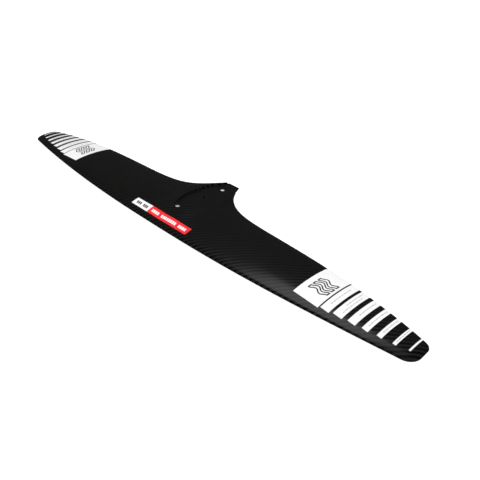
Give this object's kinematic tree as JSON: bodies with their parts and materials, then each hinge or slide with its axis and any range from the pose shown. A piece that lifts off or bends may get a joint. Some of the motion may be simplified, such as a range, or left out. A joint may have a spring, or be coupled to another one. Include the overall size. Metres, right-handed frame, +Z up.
{
  "type": "hydrofoil front wing",
  "caption": "High-aspect moulded carbon hydrofoil front wing with down-curved squared tips and a sloping bolt-on seat that runs into a tang behind the trailing edge.",
  "frame": {"origin": "axis of the front bolt hole, on the level of the root chord line", "axes": "+X along the span to the right wing tip as seen from behind, leading edge towards -Y, +Z up out of the bolted seat"},
  "size_m": [0.799, 0.1623, 0.0298],
  "materials": {
    "carbon_gloss": "clear-coated carbon twill",
    "carbon_matt": "bare cured carbon laminate",
    "core_foam": "closed-cell structural foam",
    "bush_metal": "turned stainless steel",
    "white_print": "printed white under clear coat",
    "red_print": "printed red under clear coat"
  },
  "bodies": {
    "root": {"upper_skin": "carbon_gloss", "lower_skin": "carbon_gloss", "hub_block": "carbon_gloss", "front_bolt_bush": "bush_metal", "rear_bolt_bush": "bush_metal", "middle_insert": "bush_metal", "nose_core_right": "core_foam", "nose_core_left": "core_foam", "tail_core_right": "core_foam", "tail_core_left": "core_foam", "upper_spar_cap_right": "carbon_matt", "upper_spar_cap_left": "carbon_matt", "lower_spar_cap_right": "carbon_matt", "lower_spar_cap_left": "carbon_matt", "shear_web_right": "carbon_matt", "shear_web_left": "carbon_matt", "edge_strip_right": "carbon_matt", "edge_strip_left": "carbon_matt", "tip_block_right": "carbon_gloss", "tip_block_left": "carbon_gloss", "tip_panel_right": "white_print", "tip_panel_left": "white_print", "tip_bars_right": "white_print", "tip_bars_left": "white_print", "label_white": "white_print", "label_red": "red_print"}
  },
  "joints": []
}
